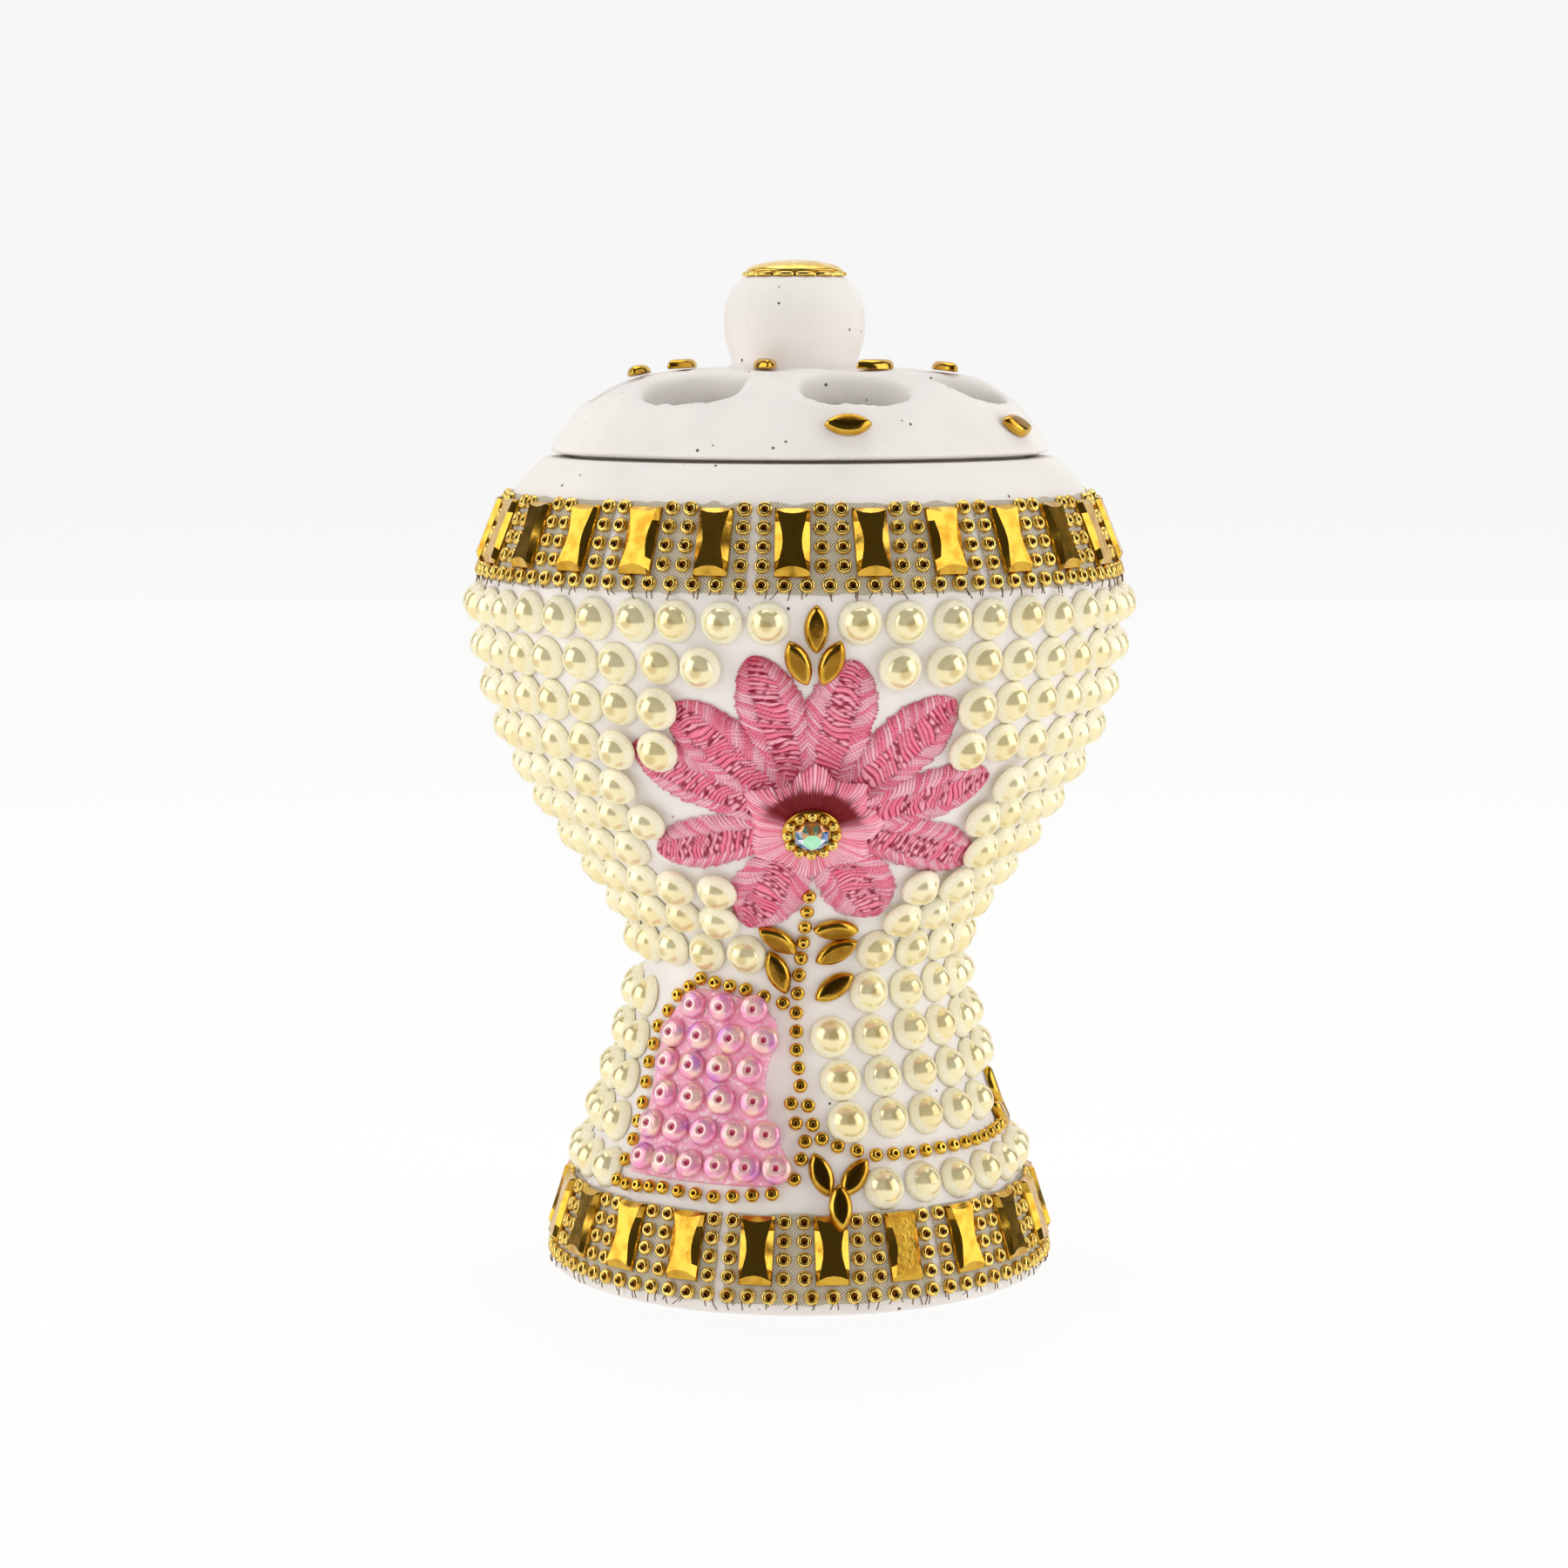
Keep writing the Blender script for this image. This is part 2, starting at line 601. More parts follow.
class JarColours(bpy.types.PropertyGroup):
    clay: colour_setting("Clay", "Chalky white paint", (243, 237, 232))
    pearl: colour_setting("Pearl", "Cream of the half pearls", (251, 240, 194))
    gilt: colour_setting("Gilt", "Plating of plates, leaves and chains", (220, 174, 66))
    pale_gilt: colour_setting("Pale gilt", "Plating of the stone's beads and trim studs",
                              (250, 216, 118))
    bead_gilt: colour_setting("Bead gilt", "Plating of the chain beads", (238, 194, 78))
    net: colour_setting("Net", "Threads of the net tape", (162, 148, 116))
    rose: colour_setting("Rose", "Full colour of the petals' thread", (244, 92, 130))
    blush: colour_setting("Blush", "Pale colour of the petals' thread", (255, 198, 212))
    magenta: colour_setting("Magenta", "Gaps between the stitches", (150, 10, 50))
    crimson: colour_setting("Crimson", "Thread at the petals' tips", (186, 24, 62))
    maroon: colour_setting("Maroon", "Thread of the star above the stone", (132, 4, 16))
    pad: colour_setting("Pad", "Glittery pink pile", (255, 186, 208))
    stud: colour_setting("Stud", "Pink of the iridescent studs", (244, 150, 190))


class JarSizes(bpy.types.PropertyGroup):
    stitch: length_setting("Stitch", "Spacing of the satin stitches", 0.55)
    relief: length_setting("Relief", "Height of a stitch above the gap beside it", 0.32)
    petal_rise: length_setting("Petal rise", "Thickness of a petal's stitched border", 0.95)
    tape: length_setting("Tape", "Thickness of the net tape", 0.3)
    plate_width: length_setting("Plate width", "Width of a gilt plate", 4.7)
    plate_length: length_setting("Plate length", "Length of a gilt plate", 9.5)
    plate_height: length_setting("Plate height", "Thickness of a gilt plate", 1.2)
    pad_rise: length_setting("Pad rise", "Thickness of the pad at its middle", 1.3)
    leaf_length: length_setting("Leaf length", "Length of a gilt leaf", 6.5)
    leaf_width: length_setting("Leaf width", "Width of a gilt leaf", 3.3)
    pearl_radius: length_setting("Pearl radius", "Radius of a half pearl's dome", 2.55)
    stone_radius: length_setting("Stone radius", "Radius of the cut stone", 2.5)


def tint(name):
    """A colour setting as it stands, linear."""
    return tuple(getattr(bpy.context.scene.jar_colours, name))


def size(name):
    """A length setting in millimetres."""
    return getattr(bpy.context.scene.jar_sizes, name) / MM


def kept(name, make, *values, **settings):
    """The material of this name, made the first time it is asked for."""
    return bpy.data.materials.get(name) or make(name, *values, **settings)


def gilt():
    """Plating of the plates and the stone's plate."""
    return kept("gilt_plating", gilt_finish, tint("gilt"))


def pale_gilt():
    """Paler plating of the trim studs, the knob's cap and the stone's beads."""
    return kept("pale_gilt_plating", gilt_finish, tint("pale_gilt"), 0.2, 0.12, hollow=True)


def leaf_gilt():
    """Plating of the leaves, darker along their middle."""
    return kept("leaf_plating", gilt_finish, tint("gilt"), hollow=True)


def bead_gilt():
    """Plating of the chain beads, darker in their holes."""
    return kept("bead_plating", gilt_finish, tint("bead_gilt"), 0.16, 0.12, hollow=True)


def clay():
    """Chalky paint of the jar, lid and knob."""
    return kept("chalky_clay", clay_finish, tint("clay"))


# ---- clay ----
def clay_jar():
    """Jar turned from the wall's profile: foot hollow, wall, rim and bowl, with soft corners.

    It is pushed in a little by a slow ripple, more at the rim and not where it stands.
    """
    foot, bowl = WALL.foot, WALL.bowl
    path = np.concatenate([foot[::-1], WALL.outside, bowl[::-1]])
    path = softened(np.concatenate([[[0, foot[-1, 1]]], path, [[0, bowl[0, 1]]]]))
    points, faces = turned(path, 168)
    radius = np.hypot(points[:, 0], points[:, 1])[:, None]
    uneven = 0.05 + 0.07 * smooth(112, 115, points[:, 2:])
    push = points * [1, 1, 0] / np.maximum(radius, 1) * ripple(points, 18, 3)[:, None]
    on_table = smooth(0, 1.5, points[:, 2:])
    points = points - np.abs(push) * np.sign(points * [1, 1, 0]) * uneven * on_table
    return points, faces


def clay_lid():
    """The lid's own shape with every edge rounded by hand: voxels, smoothing, a slight ripple."""
    points, faces = merged("lid")
    mesh = bpy.data.meshes.new("lid_shape")
    mesh.from_pydata((points * MM).tolist(), [], faces.tolist())
    shape = bpy.data.objects.new("lid_shape", mesh)
    bpy.context.scene.collection.objects.link(shape)
    fine = shape.modifiers.new("fine", "REMESH")
    fine.mode = "VOXEL"
    fine.voxel_size = 0.5 * MM
    soft = shape.modifiers.new("soft", "SMOOTH")
    soft.factor = 0.5
    soft.iterations = 45
    done = shape.evaluated_get(bpy.context.evaluated_depsgraph_get()).to_mesh()
    points = np.empty(len(done.vertices) * 3)
    done.vertices.foreach_get("co", points)
    normals = np.empty(len(done.vertices) * 3)
    done.vertices.foreach_get("normal", normals)
    points, normals = points.reshape(-1, 3) / MM, normals.reshape(-1, 3)
    faces = [list(p.vertices) for p in done.polygons]
    bpy.data.objects.remove(shape)
    radius = np.hypot(points[:, 0], points[:, 1])[:, None]
    inner = smooth(33, 29, radius)
    ledge = smooth(31, 34, radius) * (points[:, 2:] < WALL.top + 1)
    push = 0.22 * inner * ripple(points, 9, 5)[:, None] + 0.04 * ripple(points, 5, 6)[:, None]
    return points + normals * push * (1 - ledge), faces


def clay_knob():
    """Barrel: its radius falls with a power of the height from the middle, with a fillet below."""
    low, high = (np.array(c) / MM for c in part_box("lid_knob"))
    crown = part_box("lid")[1].z / MM
    middle, rise, knob_r = (low + high) / 2, high[2] - crown, (high[0] - low[0]) / 2
    z = np.linspace(0, 1, 40)
    narrowing, fillet, fillet_rise, sunk = 0.26, 2.4, 0.8, 0.3
    barrel = knob_r * (1 - narrowing * np.abs((z - 0.5) / 0.5) ** 2.6)
    barrel = barrel + fillet * np.exp(-z * rise / fillet_rise)
    barrel[-1] -= 0.5
    path = np.concatenate([[[0, -sunk]], [[barrel[0], -sunk]], np.stack([barrel, z * rise], 1),
                           [[0, rise]]])
    points, faces = turned(path, 72)
    points[:, :2] *= 1 + 0.008 * ripple(points, 14, 8)[:, None]
    return points + [middle[0], middle[1], crown], faces


# ---- small gilt pieces ----
def leaf():
    """Pointed leaf: rings shrink from the outline up steep sides to a nearly flat middle."""
    length, width, sides = size("leaf_length"), size("leaf_width"), 28
    a = np.arange(sides) * 2 * np.pi / sides
    across = np.sign(np.cos(a)) * np.abs(np.cos(a)) ** 1.5
    outline = np.stack([across * width / 2, np.sin(a) * length / 2, 0 * a], -1)
    steps = [(0.9, 0.95, 0.0), (1, 1, 0.12), (1, 1, 0.4), (0.94, 0.97, 0.7), (0.83, 0.91, 0.98),
             (0.68, 0.82, 1.17), (0.56, 0.74, 1.26), (0.48, 0.68, 1.29), (0.25, 0.54, 1.31),
             (0.02, 0.42, 1.33)]
    rings = np.stack([outline * [x, y, 0] + [0, 0, z] for x, y, z in steps])
    return lofted(rings, [0, 0, 0], [0, 0, steps[-1][2]])


def stud():
    """Small ring stud with a hollow middle."""
    path = [(0, 0), (1.02, 0), (1.1, 0.3), (1.0, 0.66), (0.78, 0.82), (0.56, 0.7),
            (0.44, 0.4), (0, 0.3)]
    return turned(path, 10)


def bead():
    """Chain bead: nearly a ball, with a small hole on top."""
    path = [(0, 0), (0.74, 0), (1.0, 0.4), (0.98, 0.78), (0.7, 1.12), (0.36, 1.24), (0.24, 1.1),
            (0, 0.8)]
    return turned(path, 12)


def hollows(shape, copies, reach):
    """1 inside the radius reach of each copy of a turned shape and above its foot, else 0."""
    points = np.array(shape[0])
    inside = (np.hypot(points[:, 0], points[:, 1]) < reach) & (points[:, 2] > 0.1)
    return np.tile(inside.astype(float), copies)


def cap_setting():
    """Scalloped disc: a ring whose radius swells fourteen times round, with a raised wire."""
    low, high = (np.array(c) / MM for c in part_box("knob_cap_setting"))
    radius, deep, lobes = (high[0] - low[0]) / 2, high[2] - low[2], 14
    a = np.arange(lobes * 12) * 2 * np.pi / (lobes * 12)
    lobe = np.abs(np.cos(a * lobes / 2)) ** 0.8
    steps = [(0.93, 0, 0), (1, 0.15, 1), (1, 0.7, 1), (0.95, 1.0, 1), (0.9, 0.8, 0.8),
             (0.86, 0.72, 0.5), (0.8, 0.95, 0.2), (0.76, 0.7, 0.0)]
    circle = np.stack([np.cos(a), np.sin(a), 0 * a], -1)
    rings = np.stack([circle * (radius * r * (1 - 0.09 * s * (1 - lobe)))[:, None]
                      + [0, 0, deep * z] for r, z, s in steps])
    points, faces = lofted(rings, [0, 0, 0], [0, 0, 0.7 * deep])
    return points + [(low[0] + high[0]) / 2, (low[1] + high[1]) / 2, low[2]], faces


def cap_dome():
    """Low cabochon, an ellipse turned about its short axis, dented a little by hand."""
    low, high = (np.array(c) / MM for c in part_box("knob_cap_dome"))
    radius, rise = (high[0] - low[0]) / 2, high[2] - low[2]
    t = np.linspace(0, np.pi / 2, 12)
    path = np.concatenate([[[0, 0]], np.stack([radius * np.cos(t), rise * np.sin(t)], 1)])
    path[-1, 0] = 0
    points, faces = turned(path, 48)
    points[:, 2] -= 0.05 * (ripple(points, 4, 12) + 1) * smooth(0, 0.5, points[:, 2])
    return points + [(low[0] + high[0]) / 2, (low[1] + high[1]) / 2, low[2]], faces


# ---- trims ----
def plate():
    """Bevelled plate: a flat waisted middle, curved bevels at both ends and slim side bevels."""
    wide, long, high = size("plate_width") / 2, size("plate_length") / 2, size("plate_height")
    edge, belt, bevel_foot = 0.05, 0.35, 0.55  # bevelled corner, and heights where it starts, ends
    flat_s, flat_t = 0.6, 0.7  # the flat middle takes the grid's lines inside these
    s = np.array([-1, -0.94, -0.6, -0.3, 0, 0.3, 0.6, 0.94, 1])
    t = np.array([-1, -0.97, -0.7, -0.45, -0.2, 0, 0.2, 0.45, 0.7, 0.97, 1])
    y, x = np.meshgrid(t, s, indexing="ij")
    waist = 0.12 + 0.75 * np.cos(np.clip(y / flat_t, -1, 1) * np.pi / 2) ** 1.3
    flat_x = wide - waist - 0.2
    beside = (np.abs(x) - flat_s) / 0.34
    across = np.where(np.abs(x) <= flat_s, np.clip(np.abs(x) / flat_s, 0, 1) * flat_x,
                      flat_x + beside * (wide - edge - flat_x))
    across = np.where(np.abs(x) > 0.95, wide, across)
    upper_bow = 0.95 - 0.55 * (across / wide) ** 2
    lower_bow = 0.5 + 0.75 * (1 - (across / wide) ** 2)
    flat_y = long - np.where(y > 0, upper_bow, lower_bow)
    beyond = (np.abs(y) - flat_t) / 0.27
    along = np.where(np.abs(y) <= flat_t, np.abs(y) / flat_t * flat_y,
                     flat_y + beyond * (long - edge - flat_y))
    along = np.where(np.abs(y) > 0.98, long, along)
    rim = (np.abs(x) > 0.95) | (np.abs(y) > 0.98)
    bevel = (np.abs(x) > 0.9) | (np.abs(y) > 0.9)
    height = np.where(rim, belt, np.where(bevel, bevel_foot, high))
    outer = np.stack([across * np.sign(x), along * np.sign(y), height], -1)
    return slab(outer * [1, 1, 0], outer)


def strips(node):
    """Turn at the middle, half turn, foot and top of every strip of a trim's tape."""
    found = []
    for points in solids(node):
        middle = points.mean(0)
        turn = math.degrees(math.atan2(middle[0], -middle[1]))
        own, z, _ = WALL.find(points)
        found.append((turn, np.abs((own - turn + 180) % 360 - 180).max(), z.min(), z.max()))
    return found


def tape(node, seed):
    """Net tape: per strip a grid over the wall with wavy cut edges, as thick as the tape."""
    shapes, maps = [], []
    for number, (turn, half, low, high) in enumerate(strips(node)):
        v, u = np.meshgrid(np.linspace(0, 1, 22), np.linspace(-1, 1, 64), indexing="ij")
        edge = np.stack([u * 9, v * 9 + number * 31], -1)
        z = low + (high - low) * v + 0.22 * ripple(edge, 3.4, seed) * np.abs(2 * v - 1) ** 4
        cut_back = math.degrees(TAPE_GAP / 2 / WALL.radius((low + high) / 2))
        reach = (half - cut_back) * u
        turns = turn + reach * (1 + 0.012 * ripple(edge[..., ::-1], 4, seed + 1))
        lift = GLUE + 0.05 * (1 + ripple(edge, 5, seed + 2)) * np.abs(2 * v - 1) ** 3
        shapes.append(slab(WALL.at(turns, z, 0 * z + 0.02), WALL.at(turns, z, lift + size("tape"))))
        cloth = np.stack([np.radians(turns - turn) * WALL.radius(z), z], -1).reshape(-1, 2)
        maps.append(np.concatenate([cloth, cloth]))
    points, faces = joined(shapes)
    return points, faces, np.concatenate(maps)


def lowest_row(nodes):
    """Foot points and axes of the studs in the lowest row of each of these nodes."""
    feet, turns = [], []
    for node in nodes:
        foot, axes = seats(node)
        low = foot[:, 2] < foot[:, 2].min() + STUD_ROW
        feet.append(foot[low])
        turns.append(axes[low])
    return np.concatenate(feet), np.concatenate(turns)


def thread_ends(nodes, seed):
    """Cut thread ends under a trim: thin three-sided tubes that hang and curl from the studs."""
    foot, axes = lowest_row(nodes)
    draw = np.random.default_rng(seed)
    steps, shapes = np.linspace(0, 1, 5), []
    for at, (side, up, out) in zip(np.repeat(foot, 2, 0), np.repeat(axes, 2, 0)):
        sway, start, long = draw.normal(0, 0.45), draw.uniform(-0.9, 0.9), draw.uniform(0.7, 1.7)
        curl = draw.uniform(0.05, 0.4)
        line = (at + 0.15 * out - 0.5 * up + (start + sway * steps[:, None] ** 1.5) * side
                - long * steps[:, None] * up + curl * np.sin(3 * steps[:, None]) * out)
        a = np.arange(3) * 2 * np.pi / 3
        ring = 0.1 * (np.cos(a)[:, None] * side + np.sin(a)[:, None] * out)
        shapes.append(lofted(line[::-1, None] + ring, line[-1], line[0]))
    return joined(shapes)


# ---- flower ----
def flower_centre():
    """Turn and height on the wall of the flower's centre, where the stone sits."""
    low, high = (np.array(c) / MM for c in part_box("stone"))
    turn, z, _ = WALL.find((low + high)[None] / 2)
    return turn[0], z[0]


def petal(index, way, length, width, bend):
    """One petal: half width against length, a border that stands proud, ridges along stitches.

    The border's stitches run outwards and forwards; those of the middle run straight across.
    A stitch is one arch of a sine, and each has its own shade and height. One flat strip from
    edge to edge closes the underside.
    """
    rows, columns = 250, 27
    s, t = np.meshgrid(np.linspace(0, 1, rows), np.linspace(-1, 1, columns), indexing="ij")
    t = np.sign(t) * np.abs(t) ** 0.85
    along = PETAL_ROOT + (length - PETAL_ROOT) * s
    swell = 0.62 + 0.38 * np.sin(np.clip(s / 0.62, 0, 1) * np.pi / 2)
    tip = np.clip(1 - (np.clip(s - 0.6, 0, 1) / 0.4) ** 2.0, 0, 1) ** 0.6
    across = t * (width / 2 * swell * tip + 0.02)
    where = np.stack([along, across + 40 * index], -1)

    # stitches: their number along the petal, their ridge and each one's own value
    drift = 0.55 * ripple(where, 5, 20 + index)
    pitch = size("stitch")
    border = smooth(0.36, 0.5, np.abs(t) + 0.06 * ripple(where, 2.4, 40 + index))
    in_border = border > 0.5
    outward = (along - 0.8 * np.abs(across)) / pitch + drift
    straight = (along + 0.35 * across) / (1.25 * pitch) + 1.4 * drift
    number = np.where(in_border, outward, straight)
    ridge = np.abs(np.sin(np.pi * number)) ** 0.7
    own = scatter(np.floor(number) + np.where(in_border, 300 * np.sign(t), 700), index)
    ragged = scatter(np.floor(outward) + 300 * (t > 0), index) - 0.5
    jag = 1 + 0.1 * (ridge - 0.6) + 0.12 * ragged
    across = across * np.where(np.abs(t) > 0.75, jag, 1)

    # height above the wall
    round_edge = (1 - np.abs(t) ** 6) * (1 - 0.5 * s ** 8)
    band = np.exp(-(((np.abs(t) - 0.66) / 0.24) ** 2))
    body = size("petal_rise") * round_edge * (0.62 + 0.38 * band) * (0.75 + 0.25 * tip)
    lift = 0.2 + body + size("relief") * (ridge - 1) * (0.35 + 0.65 * round_edge)
    lift += 0.08 * (own - 0.5) * round_edge
    a = math.radians(way)
    sideways = across + bend * s**2
    x = along * math.sin(a) + sideways * math.cos(a)
    y = along * math.cos(a) - sideways * math.sin(a)
    turn, z = flower_centre()
    grid = WALL.patch(turn, z, x, y, np.maximum(lift, 0.12) + 0.012 * index)

    # shades: dark gaps and slits, crimson tips and edges, pale stitches
    slits = (1 - border) * smooth(0.4, 0.6, own)
    gap = smooth(0.75, 0.2, ridge) * np.where(in_border, 0.6, 1.0)
    gap = np.clip(gap + slits * smooth(0.0, 0.35, ripple(where, 1.3, 60 + index)), 0, 1)
    root_shade = smooth(0.42, 0.12, s) * smooth(0.2, 0.9, math.cos(a))
    gap = np.clip(gap + 0.6 * root_shade, 0, 1)
    blots = 0.5 * smooth(0.2, 0.8, ripple(where, 8, 80 + index)) * smooth(0.75, 0.95, np.abs(t))
    tipped = np.clip(smooth(0.78, 1.05, s) + blots, 0, 1) * (1 if index in DARK_TIPPED else 0.35)
    tipped = np.maximum(tipped, 0.6 * smooth(0.84, 1.0, np.abs(t)) * smooth(-0.6, 0.6, math.cos(a)))
    shine = smooth(0.2, 0.8, own) * (0.55 + 0.45 * border) * (0.35 + 0.65 * ridge)
    marks = {"gap": gap, "tip": tipped, "tone": shine}

    cloth = np.stack([number + 40 * index, np.where(in_border, np.abs(across), along)], -1)
    faces = grid_faces(rows, columns, True)[:, ::-1].tolist()
    faces += [list(range(columns)), list(range(rows * columns - columns, rows * columns))[::-1]]
    return (grid.reshape(-1, 3), faces), {k: m.ravel() for k, m in marks.items()}, cloth


def petals():
    """All outer petals as one patch."""
    shapes, marks, maps = zip(*[petal(i, *p) for i, p in enumerate(PETALS)])
    joint = {key: np.concatenate([m[key] for m in marks]) for key in marks[0]}
    return joined(shapes), joint, np.concatenate(maps).reshape(-1, 2)


def star():
    """Inner star: rings of points whose reach swells towards each of its points.

    Fine ridges, the sine of the thread's number, run from the centre outwards.
    """
    sides, rings = 720, 22
    a = np.arange(sides) * 2 * np.pi / sides
    reach = np.full(sides, STAR_REACH + 0.4)
    for way, length in STAR:
        off = np.abs((np.degrees(a) - way + 180) % 360 - 180)
        point = np.clip(1 - off / 27, 0, 1) ** 0.9
        reach = np.maximum(reach, STAR_REACH + (length - STAR_REACH) * point)
    sway = 0.25 * ripple(np.stack([np.cos(a), np.sin(a)], -1), 0.3, 90)
    number = np.degrees(a) / 360 * STAR_THREADS + sway
    ridge = np.abs(np.sin(np.pi * number)) ** 0.7
    own = scatter(np.floor(number), 5)
    reach = reach * (1 + 0.06 * (own - 0.5) + 0.05 * (ridge - 0.5))
    share = np.concatenate([[1.0], 1 - np.linspace(0, 1, rings - 1) ** 0.9 * 0.86])[:, None]
    rise = np.concatenate([[0.0], np.full(rings - 1, 1.0)])[:, None]
    d = reach * share
    dome = smooth(1.0, 0.86, share) * 0.75 + 0.25 * smooth(0.9, 0.5, share)
    under, over = 0.95, 2.2
    lift = under + rise * (0.3 + dome + STAR_RELIEF * (ridge - 1) * smooth(2.5, 4.5, d))
    turn, z = flower_centre()
    grid = WALL.patch(turn, z, d * np.sin(a), d * np.cos(a), lift)[:, ::-1]
    shape = lofted(grid, *WALL.at(turn, z, np.array([under, over])))
    upper = smooth(0.0, 0.5, np.cos(a - 0.1))
    red = smooth(7.7 + 2.4 * (own - 0.5), 6.1, d) * upper
    start = 4.5 + 4 * scatter(np.floor(number), 9)
    slit = smooth(start, start + 0.6, d) * smooth(start + 2.6, start + 1.8, d)
    gap = smooth(0.85, 0.2, ridge) * smooth(2.5, 4.5, d) * (0.1 + 0.6 * slit)
    tone = (0.3 + 0.7 * smooth(0.2, 0.8, own)) * (0.5 + 0.5 * ridge) + 0 * d

    def ends(values):
        """Values for the point below, the rings and the point above."""
        return np.concatenate([[values[0].mean()], values[:, ::-1].ravel(), [values[-1].mean()]])

    marks = {"gap": ends(gap), "tip": ends(red), "tone": ends(tone)}
    cloth = np.stack([ends(number + 0 * d), ends(d)], -1)
    return shape, marks, cloth


def stone():
    """Cut stone: table, crown facets and girdle, each facet with its own corners and tint."""
    turn, z = flower_centre()
    axes = WALL.axes(turn, z)
    low = (solids("stone")[0] @ axes[2]).min()
    radius, rise, sides = size("stone_radius"), 1.75, 8
    a = (np.arange(sides) + 0.5) * 2 * np.pi / sides
    b = a + np.pi / sides

    def ring(share, height, way):
        return np.stack([share * radius * np.cos(way), share * radius * np.sin(way),
                         np.full(sides, height)], -1)

    table, star_ring = ring(0.5, rise, a), ring(0.78, 0.72 * rise, b)
    girdle, belt = ring(0.985, 0.38 * rise, a), ring(0.985, 0.2, a)
    foot = ring(0.7, 0.0, a)
    facets = [[*table]]
    for i in range(sides):
        j = (i + 1) % sides
        facets += [[table[i], star_ring[i], table[j]], [star_ring[i], girdle[j], table[j]],
                   [star_ring[i - 1], table[i], girdle[i]], [girdle[i], girdle[j], star_ring[i]],
                   [belt[i], belt[j], girdle[j], girdle[i]], [foot[i], foot[j], belt[j], belt[i]]]
    facets.append([*foot[::-1]])
    green, blue, amber = linear(160, 240, 184), linear(130, 176, 250), linear(222, 140, 58)
    sky, silver = linear(170, 214, 246), linear(236, 236, 242)
    points, faces, tints = [], [], []
    for facet in facets:
        corners = np.array(facet)
        normal = np.cross(corners[1] - corners[0], corners[2] - corners[0])
        middle = corners.mean(0)
        if normal @ (middle - [0, 0, 0.3 * rise]) < 0:
            corners = corners[::-1]
        height, away = middle[1] / radius, np.hypot(*middle[:2]) / radius
        if away < 0.1:
            colour = green
        elif height > 0.38:
            colour = amber
        elif height < -0.5:
            colour = silver if scatter(len(faces), 3) > 0.6 else sky
        else:
            colour = blue if scatter(len(faces), 2) < 0.7 else silver
        faces.append(list(range(len(points), len(points) + len(corners))))
        points += [*corners]
        tints += [colour] * len(corners)
    placed = np.array(points) @ axes
    centre = WALL.at(turn, z)
    placed = placed + centre + (low - centre @ axes[2]) * axes[2]
    return placed, faces, np.array(tints)


def stone_plate():
    """Thin disc, a little dished, on which the stone and its beads sit."""
    path = [(0, 0), (3.9, 0), (4.0, 0.15), (3.9, 0.4), (2.8, 0.5), (0, 0.4)]
    return turned(path, 40)


# ---- pearls ----
def pearl():
    """Half pearl: part of a ball, cut off low down, on a skirt that is a little wider."""
    radius = size("pearl_radius")
    t = np.linspace(0.42, np.pi / 2, 6)
    dome = np.stack([np.cos(t), np.sin(t)], 1) * radius + [0, 0.15]
    skirt = [(0, 0), (2.9, 0), (2.98, 0.3), (2.8, 0.7), (2.5, 1.0)]
    path = np.concatenate([skirt, dome])
    path[-1, 0] = 0
    return turned(path, 16)


# ---- pink panel ----
def pad():
    """Padded panel: a grid between its own edges on the wall, crowned, its rim rolled under."""
    turn, z, lift = WALL.find(merged("pink_panel_base")[0])
    base = lift < lift.mean()
    levels = np.unique(z[base].round(0))
    edges = np.array([(level, turn[base & (np.abs(z - level) < 0.7)].min(),
                       turn[base & (np.abs(z - level) < 0.7)].max()) for level in levels])
    v, u = np.meshgrid(np.linspace(0, 1, 110), np.linspace(0, 1, 90), indexing="ij")
    low, high = z[base].min(), z[base].max()
    height = low + (high - low) * v
    left, right = (np.interp(height, edges[:, 0], edges[:, k]) for k in (1, 2))
    round_off = (1 - np.abs(2 * v - 1) ** 9) * (1 - np.abs(2 * u - 1) ** 9)
    place = np.stack([u * 13, v * 26], -1)
    thick = size("pad_rise") * (0.25 + 0.75 * round_off**0.6)
    thick = thick * (1 + 0.03 * ripple(place, 2.2, 70)) + 0.03 * ripple(place, 0.5, 71)
    inset = 0.35 * (1 - round_off)
    turns = left + (right - left) * u
    turns = turns - np.sign(u - 0.5) * inset
    return slab(WALL.at(turns, height, 0 * v + 0.04), WALL.at(turns, height, thick))


def pink_stud():
    """Domed disc with a rolled edge and a dimple in the middle."""
    path = [(0, 0), (1.9, 0), (2.08, 0.25), (2.02, 0.6), (1.8, 0.95), (1.5, 1.15), (1.25, 1.2),
            (1.0, 1.32), (0.72, 1.4), (0.48, 1.26), (0.32, 1.0), (0, 0.9)]
    return turned(path, 28)


# ---- operators ----
def stud_nodes(trim, strips_in):
    """Names of the nodes that hold a trim's studs, strip by strip."""
    return [f"{trim}_trim_studs_{i + 1}" for i in range(strips_in)]


def build_leaves(name, node, body, outward):
    """A piece of gilt leaves on every solid of a node, with a darker flat middle."""
    foot, axes = laid_flat(node, outward)
    one = leaf()
    middle = 0.65 * smooth(1.24, 1.3, one[0][:, 2])
    make_piece(name, stamped(one, (foot, axes)), leaf_gilt(), body, [node], sharp=50,
               marks={"hollow": np.tile(middle, len(foot))})


class JAR_OT_clay(bpy.types.Operator):
    """Builds the clay jar"""

    bl_idname = "jar.clay"
    bl_label = "Clay jar"

    def execute(self, context):
        make_piece("clay_jar", clay_jar(), clay(), "jar", ["jar_body"], sharp=60)
        return {"FINISHED"}


